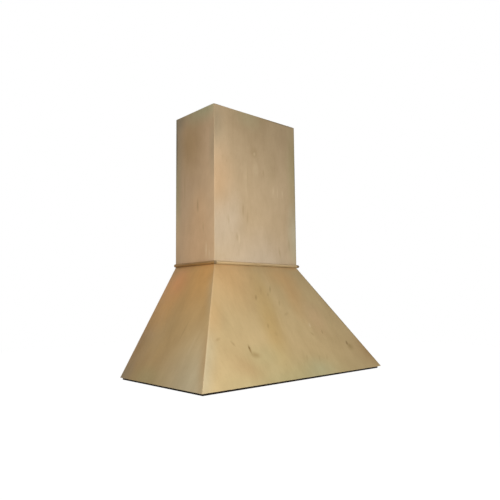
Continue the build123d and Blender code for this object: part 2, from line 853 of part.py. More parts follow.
for name, (middle, outward, length, mitred_ends) in bead_sides.items():
    outward_x, outward_y = outward
    profile = Plane(
        origin=(*middle, seam_z),
        x_dir=(outward_x, outward_y, 0),
        z_dir=(outward_y, -outward_x, 0),
    )
    with BuildPart() as bead:
        with BuildSketch(profile):
            with BuildLine():
                Line((0, 0), (bead_flat, 0))
                ThreePointArc((bead_flat, 0), (bead_projection, bead_radius), (bead_flat, bead_height))
                Polyline((bead_flat, bead_height), (0, bead_height), (0, 0))
            make_face()
        extrude(amount=length / 2, both=True)
        for end in mitred_ends:
            mitre = Plane(
                origin=profile.from_local_coords((bead_projection, 0, end * length / 2)),
                z_dir=profile.z_dir * end - profile.x_dir,
            )
            split(bisect_by=mitre, keep=Keep.BOTTOM)
        if name != "front":
            split(bisect_by=Plane.XZ, keep=Keep.TOP)
    bead.part.label = f"bead_{name}"
    export_step(bead.part, f"parts/bead_{name}.step")
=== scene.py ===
# %% [markdown]
# # A bare maple cover for a kitchen range hood
# The cover is a tapered canopy with a straight chimney on top, made of veneered plywood
# that nobody has oiled or painted yet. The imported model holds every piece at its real
# size, so this lesson doesn't draw the cover again. It loads the pieces as a fixed frame,
# eases their edges as sandpaper would, turns the round fasteners in full, and gives each
# piece the finish of its material.

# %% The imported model
import json
from math import atan, atan2, cos, degrees, pi, radians, sin

import bpy
from mathutils import Matrix, Vector


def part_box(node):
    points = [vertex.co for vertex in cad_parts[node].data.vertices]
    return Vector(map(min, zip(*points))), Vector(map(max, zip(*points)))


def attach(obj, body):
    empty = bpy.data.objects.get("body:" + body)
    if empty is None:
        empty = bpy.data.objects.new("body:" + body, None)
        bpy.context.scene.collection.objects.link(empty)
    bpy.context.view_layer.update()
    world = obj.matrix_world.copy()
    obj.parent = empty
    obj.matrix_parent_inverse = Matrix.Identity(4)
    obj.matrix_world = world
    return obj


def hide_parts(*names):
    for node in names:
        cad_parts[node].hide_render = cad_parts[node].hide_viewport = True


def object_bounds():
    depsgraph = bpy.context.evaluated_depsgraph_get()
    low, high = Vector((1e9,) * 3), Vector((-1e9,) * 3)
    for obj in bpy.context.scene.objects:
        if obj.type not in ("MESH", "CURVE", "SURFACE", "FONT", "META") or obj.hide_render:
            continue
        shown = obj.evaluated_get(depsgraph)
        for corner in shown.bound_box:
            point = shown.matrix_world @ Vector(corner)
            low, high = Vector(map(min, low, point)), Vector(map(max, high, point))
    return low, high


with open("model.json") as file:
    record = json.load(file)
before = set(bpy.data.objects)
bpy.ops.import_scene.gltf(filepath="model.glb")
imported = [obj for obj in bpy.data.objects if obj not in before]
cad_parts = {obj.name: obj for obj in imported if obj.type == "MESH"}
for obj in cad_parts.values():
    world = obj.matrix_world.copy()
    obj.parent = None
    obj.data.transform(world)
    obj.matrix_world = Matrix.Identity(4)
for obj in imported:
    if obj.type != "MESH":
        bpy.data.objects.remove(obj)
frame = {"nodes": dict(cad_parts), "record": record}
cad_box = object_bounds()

cad_nodes = frame["nodes"]
cad_body = {
    node: body
    for body, members in frame["record"]["behaviour"]["bodies"].items()
    for node in members
}

# %% [markdown]
# ## The camera
# The photograph was taken from the left and from a little under the seam. A perspective
# camera was fitted to the corners and the edges of the cover, so its place, its lens and
# its slight tilt are those of the photograph. Blender's Track To would lose that tilt, so
# the three directions of the camera are worked out here and written into its matrix.

# %% Camera
camera_place = Vector((-1.4112, -1.7339, -0.0047))
camera_target = Vector((-0.0029, -0.2000, 0.1948))
camera_tilt = radians(-0.571)
camera_lens = 37.966

looking = (camera_target - camera_place).normalized()
level_right = looking.cross(Vector((0, 0, 1))).normalized()
level_up = level_right.cross(looking)
camera_right = level_right * cos(camera_tilt) + level_up * sin(camera_tilt)
camera_up = level_up * cos(camera_tilt) - level_right * sin(camera_tilt)

camera_data = bpy.data.cameras.new("photograph_camera")
camera_data.lens = camera_lens
camera_data.sensor_width = 36.0
camera = bpy.data.objects.new("photograph_camera", camera_data)
bpy.context.scene.collection.objects.link(camera)
turn = Matrix((camera_right, camera_up, -looking)).transposed().to_4x4()
camera.matrix_world = Matrix.Translation(camera_place) @ turn
bpy.context.scene.camera = camera
bpy.context.scene.view_settings.view_transform = "Standard"
print("camera", round((camera_target - camera_place).length, 3), "m from what it looks at")

# %% [markdown]
# ## A short way to write node trees
# Every finish below is a procedural material: noise and sums over the piece's own
# coordinates in metres. Writing each node with four lines of Python would bury the idea
# of a finish, so this small class keeps one material and has a short word for each kind
# of node. A socket or a plain number can go in anywhere.

# %% Finish: one material and its recipe


class Finish:
    """One procedural material, with short words for the nodes it is made of."""

    def __init__(self, name, roughness, metallic=0.0, gloss=0.5):
        self.material = bpy.data.materials.new(name)
        self.material.use_nodes = True
        self.tree = self.material.node_tree
        self.shader = self.tree.nodes["Principled BSDF"]
        self.shader.inputs["Roughness"].default_value = roughness
        self.shader.inputs["Metallic"].default_value = metallic
        self.shader.inputs["Specular IOR Level"].default_value = gloss
        self.place = self.node("ShaderNodeTexCoord").outputs["Object"]
        self.facing = self.node("ShaderNodeNewGeometry").outputs["Normal"]

    def node(self, kind, **settings):
        made = self.tree.nodes.new(kind)
        for key, value in settings.items():
            setattr(made, key, value)
        return made

    def feed(self, socket, value):
        if isinstance(value, bpy.types.NodeSocket):
            self.tree.links.new(value, socket)
        else:
            socket.default_value = value

    def math(self, operation, a, b=0.0):
        made = self.node("ShaderNodeMath", operation=operation)
        self.feed(made.inputs[0], a)
        self.feed(made.inputs[1], b)
        return made.outputs[0]

    def vector_math(self, operation, a, b):
        made = self.node("ShaderNodeVectorMath", operation=operation)
        self.feed(made.inputs[0], a)
        self.feed(made.inputs[1], b)
        return made.outputs["Vector"]

    def along(self, vector, direction):
        made = self.node("ShaderNodeVectorMath", operation="DOT_PRODUCT")
        self.feed(made.inputs[0], vector)
        self.feed(made.inputs[1], direction)
        return made.outputs["Value"]

    def vector(self, x, y, z):
        made = self.node("ShaderNodeCombineXYZ")
        for socket, value in zip(made.inputs, (x, y, z)):
            self.feed(socket, value)
        return made.outputs[0]

    def noise(self, vector, scale, detail=2.0, roughness=0.5):
        """Noise between about 0.3 and 0.7, counted in waves per metre along each axis."""
        made = self.node("ShaderNodeTexNoise")
        self.feed(made.inputs["Vector"], self.vector_math("MULTIPLY", vector, scale))
        self.feed(made.inputs["Scale"], 1.0)
        self.feed(made.inputs["Detail"], detail)
        self.feed(made.inputs["Roughness"], roughness)
        return made.outputs["Fac"]

    def fit(self, value, low, high, to_low=0.0, to_high=1.0):
        """value, moved smoothly from the range low..high to the range to_low..to_high."""
        made = self.node("ShaderNodeMapRange", interpolation_type="SMOOTHSTEP")
        for socket, number in zip(made.inputs, (value, low, high, to_low, to_high)):
            self.feed(socket, number)
        return made.outputs[0]

    def mix(self, factor, a, b, blend="MIX"):
        made = self.node("ShaderNodeMix", data_type="RGBA", blend_type=blend)
        self.feed(made.inputs["Factor"], factor)
        self.feed(made.inputs[6], a)
        self.feed(made.inputs[7], b)
        return made.outputs[2]

    def spot(self, vector, middle, size, turned, soft):
        """1 in the middle of an oval, falling to 0 at its rim. size is two half-widths."""
        made = self.node("ShaderNodeMapping", vector_type="TEXTURE")
        self.feed(made.inputs["Vector"], vector)
        self.feed(made.inputs["Location"], (*middle, 0))
        self.feed(made.inputs["Rotation"], (0, 0, radians(turned)))
        self.feed(made.inputs["Scale"], (*size, 1))
        length = self.node("ShaderNodeVectorMath", operation="LENGTH")
        self.feed(length.inputs[0], made.outputs[0])
        return self.fit(length.outputs["Value"], 1 - soft, 1, 1, 0)

    def colour(self, value):
        self.feed(self.shader.inputs["Base Color"], value)

    def roughness(self, value):
        self.feed(self.shader.inputs["Roughness"], value)

    def bump(self, height, distance):
        made = self.node("ShaderNodeBump")
        self.feed(made.inputs["Height"], height)
        self.feed(made.inputs["Distance"], distance)
        self.tree.links.new(made.outputs[0], self.shader.inputs["Normal"])


def tone(red, green, blue):
    """A colour as a screen shows it, from 0 to 255, made linear for a shader."""
    linear = [
        ((c / 255 + 0.055) / 1.055) ** 2.4 if c > 10 else c / 255 / 12.92
        for c in (red, green, blue)
    ]
    return (*linear, 1.0)


# %% [markdown]
# ## Maple veneer on plywood
# The panels are 12.7 mm plywood, nine plies with a thin leaf of maple on the outside.
# Maple is pale and close-grained. What the eye sees from a few steps away is soft cloudy
# colour, faint long streaks, and a few darker mineral marks. Close up there are fine
# fibres and short ray flecks. All of it runs one way, up the panel, so the pattern needs
# coordinates of its own: u across the panel, v up the slope and depth into the board.
# Three dot products give them from the object's coordinates, which is simpler to follow
# than an unwrapped UV map, and it stays right for a slanting panel.
#
# Where a board is cut, its edge shows the plies: long grain and end grain by turns. The
# surface's direction tells an edge from a face, and the depth tells which ply it is.

# %% Sizes and directions that the finishes share
board = 0.0127
board_plies = 9
canopy_low, canopy_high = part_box("canopy_front_panel")
chimney_low, chimney_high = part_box("chimney_front_panel")
canopy_rise = canopy_high.z - canopy_low.z
canopy_narrows = canopy_high.x - chimney_high.x
side_lean = canopy_narrows / canopy_rise
front_lean = (chimney_low.y - canopy_low.y) / canopy_rise

up = Vector((0, 0, 1))
x_axis = Vector((1, 0, 0))
y_axis = Vector((0, 1, 0))
front_out = Vector((0, -1, front_lean)).normalized()
front_up = Vector((0, front_lean, 1)).normalized()
left_out = Vector((-1, 0, side_lean)).normalized()
left_up = Vector((side_lean, 0, 1)).normalized()
right_out = Vector((1, 0, side_lean)).normalized()
right_up = Vector((-side_lean, 0, 1)).normalized()

canopy_corner = Vector((canopy_high.x, 0, canopy_low.z))
chimney_corner = Vector((chimney_high.x, 0, chimney_low.z))
to_left = Vector((-1, 1, 1))

# Where each board's pattern starts, and its three directions: across, up the grain, out.
board_frames = {
    "canopy_front_panel": (Vector((0, canopy_low.y, canopy_low.z)), x_axis, front_up, front_out),
    "canopy_left_panel": (canopy_corner * to_left, -y_axis, left_up, left_out),
    "canopy_right_panel": (canopy_corner, -y_axis, right_up, right_out),
    "chimney_front_panel": (Vector((0, chimney_low.y, chimney_low.z)), x_axis, up, -y_axis),
    "chimney_left_panel": (chimney_corner * to_left, -y_axis, up, -x_axis),
    "chimney_right_panel": (chimney_corner, -y_axis, up, x_axis),
}
print("the canopy's sides lean in by", round(degrees(atan(side_lean)), 1), "degrees")

# %% A patch of colour


def patch(colour, strength, middle, size, turned=0.0, soft=1.0):
    """An oval patch of colour on a board. Its middle and its half-widths are in
    millimetres, across and up the board, and soft is the share that fades out."""
    return {
        "colour": tone(*colour),
        "strength": strength,
        "middle": (middle[0] / 1000, middle[1] / 1000),
        "size": (size[0] / 1000, size[1] / 1000),
        "turned": turned,
        "soft": soft,
    }


# %% A board's coordinates and its cut edge


def plywood_coordinates(finish, corner, across, grain, out, leaf):
    """The depth and the place (u, v, 0) in metres, and (u, v, leaf), which sets where in
    the endless noise this board was cut."""
    from_corner = finish.vector_math("SUBTRACT", finish.place, corner)
    u = finish.along(from_corner, across)
    v = finish.along(from_corner, grain)
    depth = finish.along(from_corner, out)
    return depth, finish.vector(u, v, 0.0), finish.vector(u, v, leaf)


def cut_edge(finish, depth, plies, thickness, grain_noise):
    """The colour of a board's cut edge: long and end grain by turns, with glue lines."""
    ply = finish.math("MULTIPLY", depth, -plies / thickness)
    odd = finish.math("PINGPONG", ply, 1.0)
    end_grain = finish.fit(odd, 0.35, 0.65)
    glue = finish.fit(finish.math("ABSOLUTE", finish.math("SUBTRACT", odd, 0.5)), 0.0, 0.1, 1, 0)
    light = finish.mix(grain_noise, tone(206, 178, 138), tone(224, 200, 162))
    dark = finish.mix(grain_noise, tone(150, 112, 74), tone(186, 150, 108))
    plain = finish.mix(end_grain, light, dark)
    return finish.mix(finish.math("MULTIPLY", glue, 0.6), plain, tone(96, 66, 42))


# %% Veneer


def weighted(finish, parts):
    """The sum of noises about zero, each with its own weight."""
    total = 0.0
    for noise, weight in parts:
        step = finish.math("MULTIPLY", finish.math("SUBTRACT", noise, 0.5), weight)
        total = finish.math("ADD", step, total)
    return total


def maple_veneer(panel, leaf, plain, washes, marks):
    """Bare maple on plywood: a plain colour, soft washes under the grain, marks on it."""
    finish = Finish("maple_" + panel.removesuffix("_panel"), roughness=0.8, gloss=0.04)
    corner, across, grain, out = board_frames[panel]
    depth, flat, place = plywood_coordinates(finish, corner, across, grain, out, leaf)
    cloud = finish.noise(place, (9, 4.5, 1), detail=3)
    mottle = finish.noise(place, (34, 20, 1), detail=3, roughness=0.6)
    streak = finish.noise(place, (95, 5, 1), detail=2)
    fibre = finish.noise(place, (900, 26, 1), detail=2)
    wander = finish.noise(place, (6, 1.6, 1), detail=1)
    u = finish.along(flat, x_axis)
    year = finish.math("ADD", finish.math("MULTIPLY", u, 36.0), finish.math("MULTIPLY", wander, 11.0))
    year_line = finish.fit(finish.math("PINGPONG", year, 0.5), 0.36, 0.5)
    fleck = finish.fit(finish.noise(place, (480, 60, 1), detail=1), 0.64, 0.76)

    drift = finish.math("MULTIPLY", finish.math("SUBTRACT", wander, 0.5), 0.05)
    blurred = finish.vector_math("ADD", flat, finish.vector(drift, drift, 0.0))
    face = tone(*plain)
    for wash in washes:
        oval = finish.spot(blurred, wash["middle"], wash["size"], wash["turned"], wash["soft"])
        face = finish.mix(finish.math("MULTIPLY", oval, wash["strength"]), face, wash["colour"])
    shade = weighted(
        finish,
        ((cloud, 0.7), (mottle, 0.27), (streak, 0.06), (fibre, 0.18), (year_line, -0.03)),
    )
    grain_tint = finish.mix(finish.fit(shade, -0.6, 0.6), (0.78, 0.74, 0.68, 1), (1.2, 1.23, 1.27, 1))
    face = finish.mix(1.0, face, grain_tint, blend="MULTIPLY")
    face = finish.mix(finish.math("MULTIPLY", fleck, 0.2), face, tone(158, 128, 90))
    for mark in marks:
        oval = finish.spot(flat, mark["middle"], mark["size"], mark["turned"], mark["soft"])
        broken = finish.math("MULTIPLY", oval, finish.fit(mottle, 0.3, 0.6, 0.6, 1.0))
        face = finish.mix(finish.math("MULTIPLY", broken, mark["strength"]), face, mark["colour"])

    # The back of the board is a plainer leaf, and the rest of it is cut edge.
    back = finish.mix(streak, tone(170, 134, 96), tone(204, 170, 126))
    edge = cut_edge(finish, depth, board_plies, board, mottle)
    turned_out = finish.along(finish.facing, out)
    is_face = finish.fit(turned_out, 0.9, 0.97)
    is_back = finish.fit(turned_out, -0.9, -0.97)
    whole = finish.mix(is_face, edge, face)
    finish.colour(finish.mix(is_back, whole, back))
    finish.roughness(finish.fit(mottle, 0.3, 0.7, 0.74, 0.86))
    finish.bump(finish.math("ADD", fibre, finish.math("MULTIPLY", streak, 0.5)), 0.00012)
    print(finish.material.name, "has", len(washes), "washes and", len(marks), "marks")
    return finish.material


# %% [markdown]
# ## Each board's own colour
# No two leaves of maple are alike. These were cut from different flitches: the canopy's
# are golden, the chimney's are pinker, and each drifts in colour from one end to the
# other. Then come the marks that the photograph shows, each one at its real place on the
# board: two small pin knots, mineral streaks, and a few flecks that lean where the grain
# swirls. A front board has a faint pale line down its left edge, a painted highlight where
# the rounded mitre edge catches the light, and darker lines of painted shade run along the
# other edges that show, where an eased edge turns away from the light. A small box of named
# tones serves all six boards, as a painter's would. The two right-hand boards face away
# from the camera, so their few marks are made up in the same kind.

# %% The tones of bare maple
honey = (212, 172, 120)
amber = (214, 164, 102)
straw = (190, 160, 106)
sand = (186, 171, 138)
olive = (174, 163, 118)
tan = (172, 140, 97)
sage = (184, 180, 142)
fawn = (182, 158, 122)
peach = (212, 176, 136)
rosy = (206, 188, 163)
shadow = (152, 138, 112)
ember = (238, 165, 108)
russet = (166, 128, 78)

# %% The tones of its marks
knot = (114, 88, 52)
umber = (136, 110, 66)
mineral = (154, 128, 82)
glint = (220, 200, 162)
# Painted shade: the dark rim along an edge that turns away from the light.
painted_edge_shade = (106, 98, 76)
# Painted highlight: the pale line where a rounded edge catches the light.
painted_edge_highlight = (228, 206, 165)

# %% Where the edges lie, in millimetres and degrees
slope = canopy_rise / front_up.z
half_slope = round(500 * slope)
hip_turn = degrees(atan(canopy_narrows / slope))
hip_middle = 1000 * (canopy_high.x + chimney_high.x) / 2
chimney_side = 1000 * chimney_high.x
half_chimney = 300
past_the_ends = 480
print("the hips lean", round(hip_turn, 1), "degrees on the canopy's front")

# %% Canopy front
swirl_turn = -28
veneers = {}
veneers["canopy_front_panel"] = maple_veneer(
    "canopy_front_panel", 0.0, (195, 170, 125),
    washes=(
        patch(honey, 0.9, (-190, 470), (230, 270)),
        patch(straw, 0.8, (-60, 215), (75, 300), -6),
        patch(olive, 0.9, (-40, -30), (520, 150)),
        patch(tan, 1.0, (450, 85), (150, 120)),
        patch(olive, 0.9, (345, 280), (40, 280), hip_turn),
        patch(sand, 0.8, (-410, 90), (60, 260), -hip_turn),
        patch(honey, 0.5, (110, 330), (60, 160)),
        patch(tan, 0.6, (-245, 70), (100, 90)),
        patch(honey, 0.6, (90, 430), (120, 90)),
        patch(honey, 0.4, (150, 370), (70, 130)),
        # Painted light: lifts the board's top edge under the bead's right end, against the bead's
        # shadow there.
        patch(honey, 0.5, (190, 475), (110, 30)),
        patch(olive, 0.45, (-150, 100), (170, 75)),
        patch(peach, 0.4, (190, 230), (95, 115)),
        patch(honey, 0.5, (-310, 265), (60, 130), -hip_turn),
        patch(sage, 0.5, (90, 15), (120, 70)),
    ),
    marks=(
        # A painted highlight down the left hip, and painted shade down the right hip.
        patch(painted_edge_highlight, 0.15, (1.5 - hip_middle, half_slope), (6, past_the_ends), -hip_turn, 0.7),
        patch(painted_edge_shade, 0.65, (hip_middle - 1, half_slope), (5, past_the_ends), hip_turn, 0.8),
        # The left knot and the streaks beside it.
        patch(umber, 0.8, (-208, 126), (7, 24), 0, 0.8),
        patch(knot, 0.8, (-209, 131), (4, 8)),
        patch(mineral, 0.6, (-192, 102), (30, 16), -8),
        patch(mineral, 0.45, (-198, 108), (18, 14)),
        patch(mineral, 0.5, (-271, 151), (7, 17), 30),
        # The right knot and its stain.
        patch(knot, 0.95, (311, 115), (8, 13), -15, 0.8),
        patch(umber, 0.4, (318, 104), (14, 12)),
        patch(mineral, 0.5, (322, 97), (28, 24), 20),
        # Single flecks between the two.
        patch(mineral, 0.65, (194, 170), (7, 14), -10),
        patch(mineral, 0.45, (132, 165), (7, 16), 40),
        patch(glint, 0.4, (140, 202), (9, 15), -15),
        patch(glint, 0.1, (-12, 225), (10, 95), -6),
        # The flecks of the swirl, and a few like them further out.
        patch(mineral, 0.6, (-82, 327), (9, 20), swirl_turn),
        patch(mineral, 0.25, (-43, 356), (9, 28), swirl_turn),
        patch(mineral, 0.55, (9, 362), (6, 26), swirl_turn),
        patch(mineral, 0.35, (-14, 339), (7, 16), swirl_turn),
        patch(mineral, 0.4, (27, 302), (6, 24), swirl_turn),
        patch(mineral, 0.3, (40, 254), (9, 22), -65),
        patch(mineral, 0.55, (-80, 209), (8, 15), swirl_turn),
        patch(umber, 0.16, (-55, 176), (13, 20), swirl_turn),
        patch(mineral, 0.4, (-327, 170), (8, 19), -68),
        patch(mineral, 0.3, (47, 73), (6, 24), swirl_turn),
        patch(mineral, 0.3, (113, 66), (6, 20), swirl_turn),
        patch(mineral, 0.25, (156, 67), (6, 20), swirl_turn),
    ),
)

# %% Canopy left
veneers["canopy_left_panel"] = maple_veneer(
    "canopy_left_panel", 3.1, (190, 158, 109),
    washes=(
        patch(amber, 1.0, (230, 480), (260, 300)),
        patch(sand, 0.9, (410, 10), (290, 280)),
        # Painted shade: this wash darkens the board towards the wall edge, where less light reaches.
        patch(tan, 1.0, (-30, 160), (190, 430)),
        patch(russet, 0.6, (0, 230), (65, 340)),
        patch(ember, 0.7, (65, 385), (110, 130)),
        patch(sand, 0.5, (305, 345), (45, 160), hip_turn),
        # Painted shade along the hip.
        patch(tan, 0.7, (425, 110), (40, 170), hip_turn),
        patch(olive, 0.5, (160, 10), (150, 70)),
        patch(amber, 0.7, (60, 290), (120, 150)),
        patch(shadow, 0.7, (0, 0), (90, 110)),
    ),
    marks=(
        patch(mineral, 0.35, (250, 200), (6, 60), -4),
        patch(glint, 0.15, (330, 150), (10, 90), -4),
    ),
)

# %% Canopy right
veneers["canopy_right_panel"] = maple_veneer(
    "canopy_right_panel", 5.3, (195, 170, 120),
    washes=(
        patch(honey, 0.8, (150, 440), (230, 240)),
        patch(olive, 0.8, (60, 60), (200, 190)),
        patch(fawn, 0.6, (420, 20), (200, 140)),
    ),
    marks=(
        patch(mineral, 0.5, (210, 250), (4, 15), 6),
        patch(knot, 0.6, (130, 160), (4, 6)),
        patch(mineral, 0.5, (138, 150), (16, 14)),
        patch(mineral, 0.5, (300, 130), (4, 22), 10),
    ),
)

# %% Chimney front
veneers["chimney_front_panel"] = maple_veneer(
    "chimney_front_panel", 7.7, (195, 170, 135),
    washes=(
        patch(fawn, 0.9, (20, 680), (380, 290)),
        patch(rosy, 0.9, (0, -40), (300, 240)),
        patch(peach, 0.7, (-220, 310), (130, 210)),
        patch(olive, 0.9, (255, 430), (110, 320)),
        patch(fawn, 0.6, (80, 400), (60, 110)),
        patch(rosy, 0.7, (-205, 130), (100, 160)),
        patch(sage, 0.8, (220, 130), (70, 200)),
        patch(rosy, 0.45, (220, 140), (80, 190)),
        patch(rosy, 0.55, (-130, 170), (90, 170)),
        patch(shadow, 0.45, (-220, 530), (65, 130)),
        patch(sage, 0.35, (-50, 595), (120, 80)),
    ),
    marks=(
        # A painted highlight down the left edge, and painted shade down the right edge and along the
        # top.
        patch(painted_edge_highlight, 0.18, (1.5 - chimney_side, half_chimney), (5, past_the_ends), 0, 0.7),
        patch(painted_edge_shade, 0.7, (chimney_side - 1, half_chimney), (4.5, past_the_ends), 0, 0.8),
        patch(painted_edge_shade, 0.65, (140, 602), (170, 9), 0, 0.8),
        patch(glint, 0.15, (-60, 315), (14, 150)),
        patch(mineral, 0.2, (-53, 350), (5, 90)),
        patch(mineral, 0.28, (-17, 450), (26, 30), 0, 0.8),
        patch(glint, 0.6, (-15, 444), (8, 10)),
        patch(glint, 0.2, (-7, 384), (24, 40), 0, 0.7),
        patch(mineral, 0.35, (33, 374), (6, 26)),
        patch(mineral, 0.4, (-77, 213), (8, 40)),
        patch(mineral, 0.3, (-54, 190), (7, 42)),
        patch(mineral, 0.3, (-109, 108), (8, 24), 8),
        patch(glint, 0.35, (-97, 100), (7, 30)),
        patch(glint, 0.35, (88, 308), (6, 30)),
        patch(glint, 0.4, (112, 300), (6, 34)),
        patch(glint, 0.35, (141, 305), (6, 28)),
        patch(mineral, 0.3, (120, 60), (7, 32), 14),
        patch(mineral, 0.3, (176, 90), (7, 40), 4),
        patch(mineral, 0.25, (-150, 170), (7, 30), 3),
    ),
)

# %% Chimney left
veneers["chimney_left_panel"] = maple_veneer(
    "chimney_left_panel", 9.2, (195, 165, 130),
    washes=(
        patch(tan, 0.7, (90, 480), (120, 200)),
        patch(sage, 0.9, (190, 612), (170, 100)),
        patch(peach, 0.9, (130, 40), (170, 250)),
        patch(shadow, 1.0, (-25, 470), (105, 420)),
        patch(peach, 0.6, (-10, 150), (60, 160)),
        patch(peach, 0.7, (150, 195), (75, 140)),
        patch(olive, 0.6, (0, 290), (55, 260)),
        patch(shadow, 0.45, (238, 420), (50, 160)),
        patch(shadow, 0.85, (0, 600), (110, 80)),
    ),
    marks=(
        patch(umber, 0.5, (144, 228), (8, 38)),
        patch(glint, 0.5, (196, 55), (7, 42), -2),
        patch(glint, 0.45, (214, 40), (6, 38)),
        patch(mineral, 0.3, (60, 300), (8, 80)),
        patch(mineral, 0.35, (178, 142), (7, 32), 2),
        # Painted shade down the edge at the wall, wider near the top.
        patch(painted_edge_shade, 0.5, (1, half_chimney), (4, past_the_ends), 0, 0.8),
        patch(painted_edge_shade, 0.75, (1, 490), (14, 170), 0, 0.8),
    ),
)

# %% Chimney right
veneers["chimney_right_panel"] = maple_veneer(
    "chimney_right_panel", 11.9, (195, 170, 130),
    washes=(
        patch(fawn, 0.8, (60, 560), (200, 220)),
        patch(peach, 0.8, (110, 60), (180, 200)),
        patch(fawn, 0.6, (240, 300), (90, 260)),
    ),
    marks=(
        patch(mineral, 0.5, (90, 330), (5, 30), 2),
        patch(umber, 0.6, (170, 180), (4, 5)),
        patch(glint, 0.45, (60, 120), (5, 40)),
    ),
)
print(len(veneers), "veneered boards")

# %% [markdown]
# ## Solid wood
# Rails, blocks and the bead are sawn from solid wood. A plank is a slice of a round tree,
# so its rings are drawn as circles about a pith that lies off to one side. The same rings
# then make long stripes on a face and arcs on a cut end, as they do in a real plank. Good
# summers and poor ones make wide and narrow rings, so a slow noise changes their pace.
#
# The bead alone has painted shade: its faces that look down take a darker tint, and so do
# the two tips of its front piece. Its side pieces are the same maple as the front piece,
# and their darker tones are painted shade as well.

# %% A plank's rings and fibres


def solid_wood(
    name, grain, pith, early, late, ring_width, contrast=1.0, roughness=0.6, gloss=0.3,
    under=None, tips=None
):
    """Wood with its fibres along an axis. pith is a point that the rings go round. Where a
    piece has them, under is a tint of painted shade on the faces that look down, and tips is
    how far from the middle its ends start to darken with painted shade."""
    finish = Finish(name, roughness, gloss=gloss)
    side = grain.orthogonal().normalized()
    other = grain.cross(side).normalized()
    from_pith = finish.vector_math("SUBTRACT", finish.place, pith)
    a = finish.along(from_pith, side)
    b = finish.along(from_pith, other)
    length = finish.along(from_pith, grain)
    place = finish.vector(a, b, length)
    wander = finish.noise(place, (16, 16, 1.6), detail=2)
    reach = finish.node("ShaderNodeVectorMath", operation="LENGTH")
    finish.feed(reach.inputs[0], finish.vector(a, b, 0.0))
    radius = finish.math("ADD", reach.outputs["Value"], finish.math("MULTIPLY", wander, 0.02))
    pace = finish.noise(finish.vector(radius, 0.0, 0.0), (45, 1, 1), detail=1)
    radius = finish.math("ADD", radius, finish.math("MULTIPLY", pace, 3.5 * ring_width))
    year = finish.math("FRACT", finish.math("DIVIDE", radius, ring_width))
    summer = finish.math("MULTIPLY", finish.fit(year, 0.25, 0.88), finish.fit(year, 0.9, 1.0, 1, 0))
    fibre = finish.noise(place, (700, 700, 14), detail=2)
    blotch = finish.noise(place, (22, 22, 4), detail=3)
    wood = finish.mix(finish.math("MULTIPLY", summer, contrast), early, late)
    shade = finish.fit(finish.math("ADD", fibre, blotch), 0.75, 1.25, 0.86, 1.1)
    wood = finish.mix(1.0, wood, finish.vector(shade, shade, shade), blend="MULTIPLY")
    sawn_end = finish.fit(finish.math("ABSOLUTE", finish.along(finish.facing, grain)), 0.75, 0.95)
    wood = finish.mix(finish.math("MULTIPLY", sawn_end, 0.35), wood, late)
    # Painted shade: a darker tint on the faces that look down.
    if under:
        painted_shade_below = finish.fit(finish.along(finish.facing, up), 0.35, -0.25)
        wood = finish.mix(painted_shade_below, wood, finish.mix(1.0, wood, under, blend="MULTIPLY"))
    # Painted shade: the ends of the piece darken past tips.
    if tips:
        painted_tip_shade = finish.fit(finish.math("ABSOLUTE", length), tips, tips + 0.003, 0.0, 0.7)
        wood = finish.mix(painted_tip_shade, wood, tone(92, 72, 52))
    finish.colour(wood)
    finish.bump(finish.math("ADD", fibre, finish.math("MULTIPLY", summer, 0.4)), 0.0002)
    return finish.material


# %% The solid woods of the cover
pine_light, pine_dark = tone(226, 192, 140), tone(190, 138, 84)
pine_along_x = solid_wood(
    "pine_along_x", x_axis, (0, 0.09, -0.31), pine_light, pine_dark, 0.0042, 0.8
)
pine_along_y = solid_wood(
    "pine_along_y", y_axis, (0.35, 0, -0.33), pine_light, pine_dark, 0.0038, 0.8
)
pine_upright = solid_wood("pine_upright", up, (0.31, 0.07, 0), pine_light, pine_dark, 0.0036, 0.8)
beech = solid_wood(
    "beech_along_y", y_axis, (0.2, 0, -0.3), tone(206, 164, 118), tone(176, 128, 86), 0.0022, 0.6
)
# Where the painted shade on the front bead's tips begins.
bead_tip_shade_from = chimney_high.x - 0.006
maple_along_x = solid_wood(
    "maple_bead_along_x", x_axis, (0, -0.1, 0.1), tone(210, 184, 142), tone(182, 150, 106),
    0.0026, contrast=0.5, roughness=0.8, gloss=0.04, under=(0.76, 0.73, 0.65, 1), tips=bead_tip_shade_from
)
# The side pieces are the same maple as the front piece, and their darker tones are painted shade.
maple_painted_shade_along_y = solid_wood(
    "maple_bead_painted_shade_along_y", y_axis, (0.1, 0, 0.1), tone(172, 136, 90), tone(146, 110, 66),
    0.0026, contrast=0.5, roughness=0.8, gloss=0.04, under=(0.95, 0.86, 0.7, 1)
)
for wood in (pine_along_x, pine_along_y, pine_upright, beech, maple_along_x, maple_painted_shade_along_y):
    print("solid wood:", wood.name)

# %% [markdown]
# ## Birch plywood
# The neck and the two cleats are plain birch plywood. Their faces carry the wavy, rotary
# cut figure of birch, and the cut edges show the plies, by the same rule as the panels.
# The loose tongues in the mitred corners are strips of thin plywood. Only their ends show,
# and each lies square to its corner, so its plies are stacked along the mitre.

# %% Birch plywood


